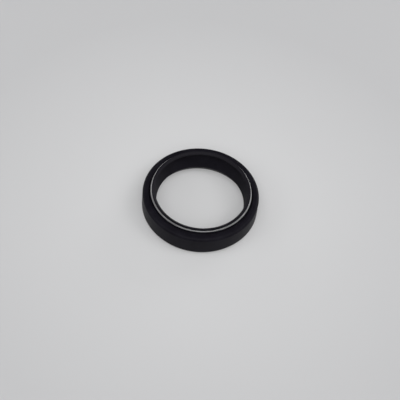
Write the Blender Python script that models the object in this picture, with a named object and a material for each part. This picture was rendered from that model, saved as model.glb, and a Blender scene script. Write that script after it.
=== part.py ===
# Fork seal for a motorcycle: one moulded rubber ring with two sprung lips, lying on its foot.
# The upper lip stands clear on top of the ring and wipes the fork tube. The lower lip hangs
# inside the recess under the ring and holds the oil. A garter spring closes each lip.
# Lengths are in metres, +Z is up, and the origin is on the axis at the level of the foot.

import math
from collections import namedtuple

import bmesh
import bpy
from mathutils import Vector

# Fork tube that slides through the seal
TUBE_RADIUS = 0.0215

# Hollow that parts the lips and holds their grease
HOLLOW_REACH = 0.0013           # from the tube out to the bottom of the hollow
HOLLOW_DROP = 0.00085           # from the land down to the middle of the hollow
HOLLOW_FILLET = 0.00050

# Lower lip, from its nose up to the ceiling of the recess behind it
LOWER_SQUEEZE = 0.0011          # how far the free edge reaches inside the tube's radius
NOSE_LIFT = 0.00042             # from the foot's level up to the nose
NOSE_CLEARANCE = 0.00070        # from the tube out to the inner side of the nose
TOE_HEIGHT = 0.0029             # from the nose up to the seat of the spring
TOE_REACH = 0.00010             # how far the ledge under the spring passes the coil's centre
LOWER_BACKING = 0.00055         # from the tube out to the bottom of the spring's seat
LOWER_SPRING_OFFSET = 0.00050   # from the lip's edge up to the middle of its spring
LOWER_BACK_REACH = 0.00145      # from the tube out to the lip's back, at the recess's ceiling
RECESS_HEADROOM = 0.0024        # from the spring's seat up to the ceiling of the recess
RECESS_FILLET = 0.00080

# Outer case: the wall that is pressed into the fork and the web that carries the lips
RECESS_GAP = 0.00080            # from the lower spring out to the case
RECESS_DRAFT = 0.00020          # how much wider the recess is at its mouth
CASE_WALL = 0.0024
WEB_THICKNESS = 0.00288         # from the ceiling of the recess up to the land on top
CHAMFER_WIDTH = 0.00086
CHAMFER_HEIGHT = 0.00155
TOP_CORNER = 0.0024

# Groove round the neck of the upper lip
NECK_WALL = 0.00060             # rubber between the hollow and the groove
GROOVE_WIDTH = 0.0008           # from the neck out to the land
GROOVE_SLOPE = 0.00040
GROOVE_DEPTH = 0.00080

# Upper lip
UPPER_SQUEEZE = 0.00020
UPPER_SEAT_RISE = 0.00046       # from the land up to the seat of the spring
UPPER_BACKING = 0.00074
UPPER_SPRING_OFFSET = 0.00034   # from the middle of the spring up to the lip's edge
RIM_THICKNESS = 0.00036         # rubber above the seat of the spring
RIM_INSET = 0.00010             # from the middle of the spring in to the rim's outer side
RIM_WIDTH = 0.00040
RIM_FILLET = 0.00018
RIM_ROUND = 0.00060             # radius where the rim runs into the bevel inside the lip

# Garter springs, each drawn as the ring that its closed coil fills
UPPER_COIL = 0.0009             # outer diameter of the coil
LOWER_COIL = 0.0015
SPRING_CLEARANCE = 0.00025      # between a coil and its seat
UPPER_SEAT_ARC = (96, 235)      # degrees round the spring that its seat covers, from above it
LOWER_SEAT_ARC = (115, 255)

LIP_EDGE = 0.00008              # radius of a lip's working edge
SOFT_EDGE = 0.00030             # radius of the other moulded edges
FINE_EDGE = 0.00015             # radius of the edges beside a narrow flat

TURN_STEPS = 72                 # flats round the axis, the same on every piece
COIL_SIDES = 8
ARC_ERROR = 0.000027            # how far a flat may stray from the arc that it stands for
FILLET_SHARE = 0.98             # most of a side that the fillets at its two ends take up
SHARP_ANGLE = 35                # degrees between two faces from which their edge shows

Spring = namedtuple("Spring", "radius height coil seat")
Corner = namedtuple("Corner", "at fillet")


def spring_place(backing, coil_diameter, seat_bottom):
    """Where a spring lies: its ring's radius and height, its coil's radius, its seat's radius."""
    coil = coil_diameter / 2
    seat = coil + SPRING_CLEARANCE
    return Spring(TUBE_RADIUS + backing + seat, seat_bottom + seat, coil, seat)


lower_spring = spring_place(LOWER_BACKING, LOWER_COIL, NOSE_LIFT + TOE_HEIGHT)
ceiling = lower_spring.height + lower_spring.seat + RECESS_HEADROOM
land = ceiling + WEB_THICKNESS
upper_spring = spring_place(UPPER_BACKING, UPPER_COIL, land + UPPER_SEAT_RISE)
rim_top = upper_spring.height + upper_spring.seat + RIM_THICKNESS

hollow = TUBE_RADIUS + HOLLOW_REACH
recess_radius = lower_spring.radius + lower_spring.coil + RECESS_GAP
wall_radius = recess_radius + CASE_WALL


def clear_scene():
    for thing in list(bpy.data.objects):
        bpy.data.objects.remove(thing, do_unlink=True)


def corner(radius, height, fillet=0.0):
    return Corner(Vector((radius, height)), fillet)


def arc_points(centre, radius, start, sweep):
    """Points along an arc, with as many flats as its radius needs."""
    widest = 2 * math.acos(1 - min(ARC_ERROR / radius, 0.5))
    steps = max(1, math.ceil(abs(sweep) / widest))
    angles = [start + sweep * step / steps for step in range(steps + 1)]
    return [centre + radius * Vector((math.cos(angle), math.sin(angle))) for angle in angles]


def seat_arc(spring, arc):
    """Corners round the inner side of a spring, from above it to below it."""
    first, last = map(math.radians, arc)
    centre = Vector((spring.radius, spring.height))
    return [Corner(point, 0.0) for point in arc_points(centre, spring.seat, first, last - first)]


def fillet_points(before, middle, after, reach):
    """The arc that replaces a corner and touches both its sides at that reach from it."""
    if reach == 0.0:
        return [middle.at]
    to_before = (before.at - middle.at).normalized()
    to_after = (after.at - middle.at).normalized()
    half = to_before.angle(to_after) / 2
    centre = middle.at + (to_before + to_after).normalized() * reach / math.cos(half)
    start = middle.at + to_before * reach - centre
    end = middle.at + to_after * reach - centre
    first = math.atan2(start.y, start.x)
    sweep = math.remainder(math.atan2(end.y, end.x) - first, math.tau)
    return arc_points(centre, reach * math.tan(half), first, sweep)


def rounded(corners):
    """A closed outline with every fillet drawn in. A fillet gives way to a short side."""
    count = len(corners)
    around = [(corners[i - 1], corners[i], corners[(i + 1) % count]) for i in range(count)]
    reaches = []
    for before, middle, after in around:
        half = (before.at - middle.at).angle(after.at - middle.at) / 2
        reaches.append(middle.fillet / math.tan(half))
    shares = []
    for i in range(count):
        side = (corners[(i + 1) % count].at - corners[i].at).length
        shares.append(FILLET_SHARE * side / max(reaches[i] + reaches[(i + 1) % count], side))
    outline = []
    for i in range(count):
        reach = reaches[i] * min(1.0, shares[i - 1], shares[i])
        outline += fillet_points(*around[i], reach)
    return outline


def case_corners():
    """Down the outer wall, across the foot and up to the ceiling of the recess."""
    return [corner(wall_radius, land, TOP_CORNER),
            corner(wall_radius, CHAMFER_HEIGHT, SOFT_EDGE),
            corner(wall_radius - CHAMFER_WIDTH, 0.0, SOFT_EDGE),
            corner(recess_radius + RECESS_DRAFT, 0.0, FINE_EDGE),
            corner(recess_radius, ceiling, RECESS_FILLET)]


def lower_lip_corners():
    """Down the back of the lower lip, round its spring and its nose, and up to its edge."""
    toe = lower_spring.radius + TOE_REACH
    edge = lower_spring.height - LOWER_SPRING_OFFSET
    back = corner(TUBE_RADIUS + LOWER_BACK_REACH, ceiling, RECESS_FILLET)
    front = [corner(toe, NOSE_LIFT + TOE_HEIGHT, SOFT_EDGE),
             corner(toe, NOSE_LIFT, SOFT_EDGE),
             corner(TUBE_RADIUS + NOSE_CLEARANCE, NOSE_LIFT, SOFT_EDGE),
             corner(TUBE_RADIUS - LOWER_SQUEEZE, edge, LIP_EDGE)]
    return [back] + seat_arc(lower_spring, LOWER_SEAT_ARC) + front


def upper_lip_corners():
    """Out of the hollow, over the upper lip's edge and rim, and down round its spring."""
    edge = upper_spring.height + UPPER_SPRING_OFFSET
    rim = upper_spring.radius - RIM_INSET
    front = [corner(hollow, land - HOLLOW_DROP, HOLLOW_FILLET),
             corner(TUBE_RADIUS - UPPER_SQUEEZE, edge, LIP_EDGE),
             corner(rim - RIM_WIDTH, rim_top, RIM_ROUND),
             corner(rim, rim_top, RIM_FILLET)]
    return front + seat_arc(upper_spring, UPPER_SEAT_ARC)


def neck_corners():
    """From the foot of the upper lip's neck out to the land."""
    neck = hollow + NECK_WALL
    land_start = neck + GROOVE_WIDTH
    floor = land - GROOVE_DEPTH
    return [corner(neck, floor, SOFT_EDGE),
            corner(land_start - GROOVE_SLOPE, floor, FINE_EDGE),
            corner(land_start, land, FINE_EDGE)]


def ring_outline(spring):
    """Section of a garter spring, run round so that its outer side goes down."""
    angles = [-math.tau * side / COIL_SIDES for side in range(COIL_SIDES)]
    centre = Vector((spring.radius, spring.height))
    return [centre + spring.coil * Vector((math.cos(angle), math.sin(angle))) for angle in angles]


def material(name, colour, roughness, metallic):
    made = bpy.data.materials.new(name)
    made.use_nodes = True
    shader = made.node_tree.nodes["Principled BSDF"]
    shader.inputs["Base Color"].default_value = (*colour, 1.0)
    shader.inputs["Roughness"].default_value = roughness
    shader.inputs["Metallic"].default_value = metallic
    return made


def black_rubber():
    return material("black_rubber", (0.012, 0.012, 0.014), 0.55, 0.0)


def spring_steel(name):
    return material(name, (0.62, 0.62, 0.60), 0.30, 1.0)


def turned(name, outline, finish):
    """Turns a closed outline once round the Z axis into a solid ring."""
    shape = bmesh.new()
    points = [shape.verts.new((point.x, 0.0, point.y)) for point in outline]
    edges = [shape.edges.new((points[i - 1], points[i])) for i in range(len(points))]
    bmesh.ops.spin(shape, geom=points + edges, cent=(0.0, 0.0, 0.0), axis=(0.0, 0.0, 1.0),
                   angle=math.tau, steps=TURN_STEPS, use_merge=True, use_duplicate=False)
    bmesh.ops.recalc_face_normals(shape, faces=shape.faces)
    mesh = bpy.data.meshes.new(name)
    shape.to_mesh(mesh)
    shape.free()
    mesh.shade_smooth()
    mesh.set_sharp_from_angle(angle=math.radians(SHARP_ANGLE))
    mesh.materials.append(finish)
    piece = bpy.data.objects.new(name, mesh)
    bpy.context.scene.collection.objects.link(piece)


def seal_body():
    corners = case_corners() + lower_lip_corners() + upper_lip_corners() + neck_corners()
    turned("seal_body", rounded(corners), black_rubber())


def upper_garter_spring():
    turned("upper_garter_spring", ring_outline(upper_spring), spring_steel("upper_spring_steel"))


def lower_garter_spring():
    turned("lower_garter_spring", ring_outline(lower_spring), spring_steel("lower_spring_steel"))


clear_scene()
seal_body()
upper_garter_spring()
lower_garter_spring()
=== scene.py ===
# Looks of the fork seal: a moulded black rubber ring with two sprung lips, lying on its foot.
# The rubber is turned from its section, and each garter spring is a coil of real wire.
# Everything is in metres unless a note says otherwise.

import math

import bpy
from mathutils import Matrix, Vector


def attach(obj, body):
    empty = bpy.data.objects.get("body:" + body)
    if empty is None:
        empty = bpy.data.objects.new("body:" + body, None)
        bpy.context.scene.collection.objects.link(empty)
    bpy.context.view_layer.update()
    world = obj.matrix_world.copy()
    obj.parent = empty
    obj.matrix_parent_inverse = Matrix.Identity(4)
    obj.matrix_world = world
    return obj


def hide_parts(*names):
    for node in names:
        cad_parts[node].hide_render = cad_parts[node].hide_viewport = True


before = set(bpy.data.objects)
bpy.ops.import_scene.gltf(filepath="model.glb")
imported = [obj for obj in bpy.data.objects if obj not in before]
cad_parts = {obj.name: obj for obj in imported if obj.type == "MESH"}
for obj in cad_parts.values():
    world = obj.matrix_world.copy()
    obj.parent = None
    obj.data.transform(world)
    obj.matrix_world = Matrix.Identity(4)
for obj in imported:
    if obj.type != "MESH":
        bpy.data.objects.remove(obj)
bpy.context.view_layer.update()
print("frame loaded:", sorted(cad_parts))

mm = 0.001
mergeGap = 0.002 * mm    # points nearer than this are the same point


# Small helpers

def deselectAll():
    if bpy.context.mode != "OBJECT":
        bpy.ops.object.mode_set(mode="OBJECT")
    bpy.ops.object.select_all(action="DESELECT")


def settlePiece(piece):
    # the object goes to the origin and its place goes into its mesh
    deselectAll()
    bpy.context.view_layer.objects.active = piece
    piece.select_set(True)
    bpy.ops.object.transform_apply(location=True, rotation=True, scale=True)


def namePiece(name):
    piece = bpy.context.object
    piece.name = name
    piece.data.name = name
    return piece


def dressPiece(piece, material, node):
    piece.data.materials.clear()
    piece.data.materials.append(material)
    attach(piece, "root")
    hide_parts(node)


# Node materials

def newMaterial(name):
    material = bpy.data.materials.new(name)
    material.use_nodes = True
    return material


def addNode(material, kind, settings=None, inputs=None):
    node = material.node_tree.nodes.new(kind)
    for key, value in (settings or {}).items():
        setattr(node, key, value)
    for key, value in (inputs or {}).items():
        node.inputs[key].default_value = value
    return node


def join(material, source, target):
    material.node_tree.links.new(source, target)


def addRange(material, value, low, high, outLow, outHigh):
    node = addNode(material, "ShaderNodeMapRange", {"clamp": True},
                   {"From Min": low, "From Max": high, "To Min": outLow, "To Max": outHigh})
    join(material, value, node.inputs["Value"])
    return node.outputs["Result"]


def addNoise(material, vector, scale, detail=3.0, roughness=0.5):
    node = addNode(material, "ShaderNodeTexNoise", {"noise_dimensions": "3D"},
                   {"Scale": scale, "Detail": detail, "Roughness": roughness})
    join(material, vector, node.inputs["Vector"])
    return node.outputs["Fac"]


def addMath(material, operation, first, second=None):
    node = addNode(material, "ShaderNodeMath", {"operation": operation})
    for slot, value in enumerate((first, second)):
        if value is None:
            continue
        if isinstance(value, (int, float)):
            node.inputs[slot].default_value = value
        else:
            join(material, value, node.inputs[slot])
    return node.outputs["Value"]


def addBump(material, height, distance, strength, below=None):
    node = addNode(material, "ShaderNodeBump", None, {"Distance": distance, "Strength": strength})
    join(material, height, node.inputs["Height"])
    if below is not None:
        join(material, below, node.inputs["Normal"])
    return node.outputs["Normal"]


def addColourMix(material, amount, first, second):
    node = addNode(material, "ShaderNodeMix", {"data_type": "RGBA"})
    for slot, colour in ((6, first), (7, second)):
        if isinstance(colour, tuple):
            node.inputs[slot].default_value = (*colour, 1.0)
        else:
            join(material, colour, node.inputs[slot])
    join(material, amount, node.inputs[0])
    return node.outputs[2]


turnedDrift = 0.02       # how slowly a turned pattern changes on its way round


def addTurnedPlace(material, place):
    # radius, height and a small share of X, so that a pattern runs round the axis
    apart = addNode(material, "ShaderNodeSeparateXYZ")
    join(material, place, apart.inputs[0])
    squares = addMath(material, "ADD",
                      addMath(material, "MULTIPLY", apart.outputs["X"], apart.outputs["X"]),
                      addMath(material, "MULTIPLY", apart.outputs["Y"], apart.outputs["Y"]))
    radius = addMath(material, "SQRT", squares)
    together = addNode(material, "ShaderNodeCombineXYZ")
    join(material, radius, together.inputs["X"])
    join(material, apart.outputs["Z"], together.inputs["Y"])
    join(material, addMath(material, "MULTIPLY", apart.outputs["X"], turnedDrift),
         together.inputs["Z"])
    return together.outputs["Vector"]


# Moulded rubber

rubber = {
    "dark": (0.0072, 0.0064, 0.0098),
    "bloomed": (0.0115, 0.0106, 0.0151),     # where the moulding bloom lies
    "bloomScale": 160.0,                     # patches to a metre
    "bloomSpread": (0.35, 0.68),             # where in its noise the bloom comes and is full
    "roughness": (0.41, 0.51),
    "roughSpread": (0.45, 0.95),             # where in the noises the rubber is smooth and dull
    "turningShare": 0.35,                    # how much the rings add to the roughness
    "specular": 0.066,
    "grainScale": 7000.0,
    "grainDepth": 0.015 * mm,
    "turningScale": 5200.0,                  # fine rings left by the turned mould
    "turningDepth": 0.010 * mm,
    "bevelSheen": (0.0130, 0.0119, 0.0159),     # painted sheen: the bevel inside the upper lip is painted lighter for the light that it catches
    "bevelSheenHeight": (12.00 * mm, 12.20 * mm),  # the painted sheen lies above this
    "bevelSheenRadius": (22.75 * mm, 22.55 * mm),  # and inside this
}


def makeRubber():
    material = newMaterial("mouldedRubber")
    shader = material.node_tree.nodes["Principled BSDF"]
    place = addNode(material, "ShaderNodeTexCoord").outputs["Object"]
    bloom = addNoise(material, place, rubber["bloomScale"], 5.0, 0.6)
    fine = addNoise(material, place, rubber["grainScale"], 2.0, 0.6)
    turnedPlace = addTurnedPlace(material, place)
    rings = addNoise(material, turnedPlace, rubber["turningScale"], 3.0, 0.7)
    colour = addColourMix(material, addRange(material, bloom, *rubber["bloomSpread"], 0.0, 1.0),
                          rubber["dark"], rubber["bloomed"])
    apart = addNode(material, "ShaderNodeSeparateXYZ")
    join(material, turnedPlace, apart.inputs[0])
    # painted sheen: the bevel inside the upper lip gets a lighter colour
    bevelSheen = addMath(material, "MULTIPLY",
                      addRange(material, apart.outputs["Y"], *rubber["bevelSheenHeight"], 0.0, 1.0),
                      addRange(material, apart.outputs["X"], *rubber["bevelSheenRadius"], 0.0, 1.0))
    colour = addColourMix(material, bevelSheen, colour, rubber["bevelSheen"])
    join(material, colour, shader.inputs["Base Color"])
    dull = addMath(material, "ADD", bloom,
                   addMath(material, "MULTIPLY", rings, rubber["turningShare"]))
    join(material, addRange(material, dull, *rubber["roughSpread"], *rubber["roughness"]),
         shader.inputs["Roughness"])
    shader.inputs["Specular IOR Level"].default_value = rubber["specular"]
    turned = addBump(material, rings, rubber["turningDepth"], 1.0)
    join(material, addBump(material, fine, rubber["grainDepth"], 1.0, turned),
         shader.inputs["Normal"])
    return material


# Drawn spring wire

wire = {
    "clean": (0.50, 0.50, 0.503),
    "oiled": (0.42, 0.42, 0.423),            # where a film of oil lies
    "oilSpread": (0.40, 0.72),
    "roughness": (0.29, 0.40),
    "roughSpread": (0.35, 0.70),
    "filmScale": 420.0,
    "dieScale": 30000.0,                     # fine scores of the drawing die
    "dieDepth": 0.0015 * mm,
}


def makeWire():
    material = newMaterial("springWire")
    shader = material.node_tree.nodes["Principled BSDF"]
    place = addNode(material, "ShaderNodeTexCoord").outputs["Object"]
    film = addNoise(material, place, wire["filmScale"], 4.0, 0.6)
    die = addNoise(material, place, wire["dieScale"], 2.0, 0.5)
    colour = addColourMix(material, addRange(material, film, *wire["oilSpread"], 0.0, 1.0),
                          wire["clean"], wire["oiled"])
    join(material, colour, shader.inputs["Base Color"])
    join(material, addRange(material, film, *wire["roughSpread"], *wire["roughness"]),
         shader.inputs["Roughness"])
    join(material, addBump(material, die, wire["dieDepth"], 1.0), shader.inputs["Normal"])
    shader.inputs["Metallic"].default_value = 1.0
    return material


# Section of the rubber ring. Radii are from the axis and heights from the foot, in millimetres.
# A coil has the radius and height of its ring, its own outer radius, that of its seat in the
# rubber, and the thickness of its wire.

upperCoil = {
    "ring": 22.94, "height": 11.76, "coil": 0.45, "seat": 0.70, "wire": 0.20,
    "seatArc": (96, 235),    # degrees round the coil that the seat covers, from above it
}
lowerCoil = {
    "ring": 23.05, "height": 4.32, "coil": 0.75, "seat": 1.0, "wire": 0.30,
    "seatArc": (115, 255),
}

body = {
    # outer wall, foot and recess
    "wall": 27.0, "land": 10.6, "topCorner": 2.4,
    "chamferWidth": 0.86, "chamferHeight": 1.55, "softEdge": 0.30, "fineEdge": 0.15,
    "recess": 24.6, "recessDraft": 0.2, "ceiling": 7.72, "recessFillet": 0.8,
    # lower lip, and the hollow that parts it from the upper one
    "lipBack": 22.95, "hollow": (22.80, 9.75), "hollowFillet": 0.5,
    "lowerEdge": (20.40, 3.82), "noseInner": 22.2, "toe": 23.15,
    "noseLift": 0.42, "toeHeight": 2.9,
    # upper lip, and the groove round its neck
    "upperEdge": (21.30, 12.1), "lipEdge": 0.08,
    "rim": 22.84, "rimTop": 12.82, "rimWidth": 0.40, "rimFillet": 0.18, "rimRound": 0.60,
    "neck": 23.40, "groove": 9.8, "grooveSlope": 0.40, "landStart": 24.20,
    # how it is drawn
    "filletShare": 0.49,     # most of a side that a fillet takes up
    "shortest": 0.001,       # no side shorter than this is drawn
    "turns": 256,            # facets round the axis
    "arcStep": 7.0,          # degrees to a facet on a rounded edge
    "smoothAngle": 32.0,     # degrees between two faces up to which they are shaded as one
}


def corner(radius, height, fillet=0.0):
    return {"at": Vector((radius, height)), "fillet": fillet}


def seatRound(coil, first, last):
    # the hollow that a spring lies in, from one angle round its centre to another
    centre = Vector((coil["ring"], coil["height"]))
    ends = []
    for turn in (math.radians(first), math.radians(last)):
        ends.append(centre + coil["seat"] * Vector((math.cos(turn), math.sin(turn))))
    return {"centre": centre, "start": ends[0], "end": ends[1], "sweep": last - first}


def bodySection():
    b = body
    toeTop = b["noseLift"] + b["toeHeight"]
    return [
        corner(b["wall"], b["land"], b["topCorner"]),
        corner(b["wall"], b["chamferHeight"], b["softEdge"]),
        corner(b["wall"] - b["chamferWidth"], 0.0, b["softEdge"]),
        corner(b["recess"] + b["recessDraft"], 0.0, b["fineEdge"]),
        corner(b["recess"], b["ceiling"], b["recessFillet"]),
        corner(b["lipBack"], b["ceiling"], b["recessFillet"]),
        seatRound(lowerCoil, *lowerCoil["seatArc"]),
        corner(b["toe"], toeTop, b["softEdge"]),
        corner(b["toe"], b["noseLift"], b["softEdge"]),
        corner(b["noseInner"], b["noseLift"], b["softEdge"]),
        corner(*b["lowerEdge"], b["lipEdge"]),
        corner(*b["hollow"], b["hollowFillet"]),
        corner(*b["upperEdge"], b["lipEdge"]),
        corner(b["rim"] - b["rimWidth"], b["rimTop"], b["rimRound"]),
        corner(b["rim"], b["rimTop"], b["rimFillet"]),
        seatRound(upperCoil, *upperCoil["seatArc"]),
        corner(b["neck"], b["groove"], b["softEdge"]),
        corner(b["landStart"] - b["grooveSlope"], b["groove"], b["fineEdge"]),
        corner(b["landStart"], b["land"], b["fineEdge"]),
    ]


def filletOf(before, stop, after):
    # the arc that touches both sides of a corner
    toBefore = (before - stop["at"]).normalized()
    toAfter = (after - stop["at"]).normalized()
    half = toBefore.angle(toAfter) / 2
    reach = stop["fillet"] / math.tan(half)
    side = min((before - stop["at"]).length, (after - stop["at"]).length)
    reach = min(reach, body["filletShare"] * side)
    start = stop["at"] + toBefore * reach
    end = stop["at"] + toAfter * reach
    centre = stop["at"] + (toBefore + toAfter).normalized() * reach / math.cos(half)
    first = start - centre
    last = end - centre
    sweep = math.degrees(math.atan2(first.x * last.y - first.y * last.x, first.dot(last)))
    return {"centre": centre, "start": start, "end": end, "sweep": sweep}


def arcsOf(section):
    arcs = []
    for index, stop in enumerate(section):
        if "centre" in stop:
            arcs.append(stop)
            continue
        before = section[index - 1]
        after = section[(index + 1) % len(section)]
        arcs.append(filletOf(before.get("end", before.get("at")), stop,
                             after.get("start", after.get("at"))))
    return arcs


def penTo(pen, point):
    step = (point - pen) * mm
    bpy.ops.mesh.extrude_region_move(
        TRANSFORM_OT_translate={"value": (step.x, 0.0, step.y), "orient_type": "GLOBAL"})
    return point


def penRound(arc):
    steps = max(1, math.ceil(abs(arc["sweep"]) / body["arcStep"]))
    bpy.ops.mesh.spin(steps=steps, angle=math.radians(arc["sweep"]), use_auto_merge=False,
                      center=(arc["centre"].x * mm, 0.0, arc["centre"].y * mm),
                      axis=(0.0, 1.0, 0.0))
    return arc["end"]


def drawSection(arcs):
    # one point, drawn along the straight sides and spun round each fillet
    pen = arcs[0]["start"]
    deselectAll()
    bpy.ops.mesh.primitive_plane_add(size=mm, location=(pen.x * mm, 0.0, pen.y * mm))
    bpy.ops.object.mode_set(mode="EDIT")
    bpy.ops.mesh.select_all(action="SELECT")
    bpy.ops.mesh.merge(type="CENTER")
    for arc in arcs:
        if (arc["start"] - pen).length > body["shortest"]:
            pen = penTo(pen, arc["start"])
        pen = penRound(arc)
    penTo(pen, arcs[0]["start"])
    bpy.ops.mesh.select_all(action="SELECT")
    bpy.ops.mesh.remove_doubles(threshold=mergeGap)


def makeBody():
    drawSection(arcsOf(bodySection()))
    piece = namePiece("sealBody")
    bpy.ops.mesh.select_all(action="SELECT")
    bpy.ops.mesh.spin(steps=body["turns"], angle=math.tau, center=(0.0, 0.0, 0.0),
                      axis=(0.0, 0.0, 1.0), use_auto_merge=False)
    bpy.ops.mesh.select_all(action="SELECT")
    bpy.ops.mesh.remove_doubles(threshold=mergeGap)
    bpy.ops.mesh.normals_make_consistent(inside=False)
    bpy.ops.object.mode_set(mode="OBJECT")
    settlePiece(piece)
    bpy.ops.object.shade_smooth_by_angle(angle=math.radians(body["smoothAngle"]))
    dressPiece(piece, makeRubber(), "seal_body")
    print("rubber ring turned:", len(piece.data.polygons), "faces")
    return piece


# Garter springs

coiling = {
    "spread": 1.035,         # how far the fitted spring's turns stand apart, in wire diameters
    "stepsToTurn": 12,
    "wireSides": 6,
}


def makeSpring(name, coil, material, node):
    # a turn of wire is screwed along a straight line, and the coil is then bent to a ring
    wireRadius = coil["wire"] / 2
    around = math.tau * coil["ring"]
    turns = round(around / (coil["wire"] * coiling["spread"]))
    deselectAll()
    bpy.ops.mesh.primitive_circle_add(vertices=coiling["wireSides"], radius=wireRadius * mm,
                                      location=(0.0, 0.0, (coil["coil"] - wireRadius) * mm),
                                      rotation=(math.radians(90), 0.0, 0.0))
    piece = namePiece(name)
    settlePiece(piece)
    screw = piece.modifiers.new("coil", "SCREW")
    screw.axis = "X"
    screw.screw_offset = around / turns * mm
    screw.iterations = turns
    screw.steps = coiling["stepsToTurn"]
    screw.render_steps = coiling["stepsToTurn"]
    bpy.ops.object.modifier_apply(modifier=screw.name)
    span = piece.dimensions.x
    bend = piece.modifiers.new("ring", "SIMPLE_DEFORM")
    bend.deform_method = "BEND"
    bend.deform_axis = "Z"
    bend.angle = math.tau * span / (around * mm)
    bpy.ops.object.modifier_apply(modifier=bend.name)
    piece.location = (0.0, -coil["ring"] * mm, coil["height"] * mm)
    settlePiece(piece)
    bpy.ops.object.mode_set(mode="EDIT")
    bpy.ops.mesh.select_all(action="SELECT")
    bpy.ops.mesh.remove_doubles(threshold=mergeGap)
    bpy.ops.mesh.normals_make_consistent(inside=False)
    bpy.ops.object.mode_set(mode="OBJECT")
    bpy.ops.object.shade_smooth()
    dressPiece(piece, material, node)
    print(name, "coiled:", turns, "turns,", len(piece.data.polygons), "faces")
    return piece


# Floor

floorPlan = {
    "size": 6.0,
    "drop": 0.00001,         # keeps the floor clear of the foot's face
    # painted light: the floor is painted lighter in the middle and darker towards its edge, a
    # painted pool of light
    "light": (0.475, 0.475, 0.480),
    "edge": (0.412, 0.412, 0.418),
    "glow": (0.995, 0.998, 1.0), "glowEdge": (0.880, 0.882, 0.890),
    "glowStrength": 0.20,    # lit a little from below, so that shadows stay pale
    "fade": (0.050, 0.130),  # from where to where the light falls off, from the middle
    "cloudScale": 9.0, "cloudWidth": 0.012,     # how uneven that edge is
    "grainScale": 3000.0, "grainDepth": 0.01 * mm, "grainStrength": 0.5,
    "roughness": 0.75, "specular": 0.2,
}


def makeFloor():
    deselectAll()
    bpy.ops.mesh.primitive_plane_add(size=floorPlan["size"],
                                     location=(0.0, 0.0, -floorPlan["drop"]))
    floor = namePiece("floor")
    settlePiece(floor)
    material = newMaterial("paleFloor")
    shader = material.node_tree.nodes["Principled BSDF"]
    place = addNode(material, "ShaderNodeTexCoord").outputs["Object"]
    apart = addNode(material, "ShaderNodeVectorMath", {"operation": "LENGTH"})
    join(material, place, apart.inputs[0])
    cloud = addMath(material, "MULTIPLY", addNoise(material, place, floorPlan["cloudScale"]),
                    floorPlan["cloudWidth"])
    away = addMath(material, "ADD", apart.outputs["Value"], cloud)
    # painted pool of light: the floor's colour and glow fade from the middle outwards
    fade = addRange(material, away, *floorPlan["fade"], 0.0, 1.0)
    join(material, addColourMix(material, fade, floorPlan["light"], floorPlan["edge"]),
         shader.inputs["Base Color"])
    join(material, addColourMix(material, fade, floorPlan["glow"], floorPlan["glowEdge"]),
         shader.inputs["Emission Color"])
    shader.inputs["Emission Strength"].default_value = floorPlan["glowStrength"]
    grain = addNoise(material, place, floorPlan["grainScale"])
    join(material, addBump(material, grain, floorPlan["grainDepth"], floorPlan["grainStrength"]),
         shader.inputs["Normal"])
    shader.inputs["Roughness"].default_value = floorPlan["roughness"]
    shader.inputs["Specular IOR Level"].default_value = floorPlan["specular"]
    floor.data.materials.append(material)


# Camera, at the photo's viewing angle

view = {
    "target": (-0.000079, 0.003621, 0.0),    # where the middle of the picture looks
    "distance": 0.550,
    "elevation": 52.959,                     # degrees above the floor
    "roll": 6.795,                           # degrees that the camera leans
    "lens": 105.17, "filmWidth": 36.0,       # mm
    "clipStart": 0.01,
}


def makeCamera():
    elevation = math.radians(view["elevation"])
    away = Vector((0.0, -math.cos(elevation), math.sin(elevation)))
    turn = (Matrix.Rotation(math.radians(90) - elevation, 4, "X")
            @ Matrix.Rotation(math.radians(view["roll"]), 4, "Z"))
    deselectAll()
    bpy.ops.object.camera_add()
    camera = bpy.context.object
    camera.name = "photoCamera"
    camera.matrix_world = Matrix.Translation(Vector(view["target"])
                                             + away * view["distance"]) @ turn
    camera.data.lens = view["lens"]
    camera.data.sensor_width = view["filmWidth"]
    camera.data.clip_start = view["clipStart"]
    bpy.context.scene.camera = camera


# Soft studio light

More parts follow.
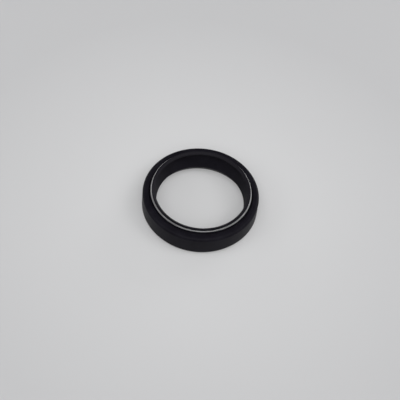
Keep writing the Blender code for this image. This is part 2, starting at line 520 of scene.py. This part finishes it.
studio = {
    "room": (0.92, 0.95, 1.0), "roomStrength": 0.06,
    "lamps": {                               # place, width and height in metres
        "overheadPanel": {"place": (0.0, -0.43, 2.0), "toward": (0.0, -0.43, 0.0),
                          "size": (3.00, 1.94), "watts": 26.6},
        "frontPanel": {"place": (0.0, -2.40, 2.40), "toward": (0.0, 0.0, 0.0),
                       "size": (2.20, 1.20), "watts": 26.5},
        "leftPanel": {"place": (-1.89, -0.65, 1.33), "toward": (0.0, 0.0, 0.0),
                      "size": (1.20, 0.80), "watts": 6.5},
        "rightPanel": {"place": (1.62, -0.17, 1.76), "toward": (0.0, 0.0, 0.0),
                       "size": (1.20, 0.80), "watts": 10.0},
        "farLeftCard": {"place": (-1.45, 1.85, 0.75), "toward": (0.0, 0.0, 0.0),
                        "size": (1.20, 0.70), "watts": 6.0},
        "farRightCard": {"place": (1.45, 1.85, 0.75), "toward": (0.0, 0.0, 0.0),
                         "size": (1.20, 0.70), "watts": 12.0},
        "leftCard": {"place": (-2.22, 0.90, 0.28), "toward": (0.0, 0.0, 0.28),
                     "size": (1.90, 0.52), "watts": 2.6},
        "rightCard": {"place": (2.40, 0.0, 0.28), "toward": (0.0, 0.0, 0.28),
                      "size": (4.40, 0.52), "watts": 8.6},
    },
}


def makeLight():
    world = bpy.data.worlds.new("room")
    world.use_nodes = True
    back = world.node_tree.nodes["Background"]
    back.inputs["Color"].default_value = (*studio["room"], 1.0)
    back.inputs["Strength"].default_value = studio["roomStrength"]
    bpy.context.scene.world = world
    for name, plan in studio["lamps"].items():
        place = Vector(plan["place"])
        bpy.ops.object.light_add(type="AREA", location=place)
        lamp = bpy.context.object
        lamp.name = name
        lamp.data.shape = "RECTANGLE"
        lamp.data.size, lamp.data.size_y = plan["size"]
        lamp.data.energy = plan["watts"]
        lamp.rotation_euler = (Vector(plan["toward"]) - place).to_track_quat("-Z", "Y").to_euler()
    bpy.context.scene.view_settings.view_transform = "Standard"


makeCamera()
makeFloor()
makeLight()
print("camera, floor and light placed")
makeBody()
steelWire = makeWire()
makeSpring("upperGarterSpring", upperCoil, steelWire, "upper_garter_spring")
makeSpring("lowerGarterSpring", lowerCoil, steelWire, "lower_garter_spring")
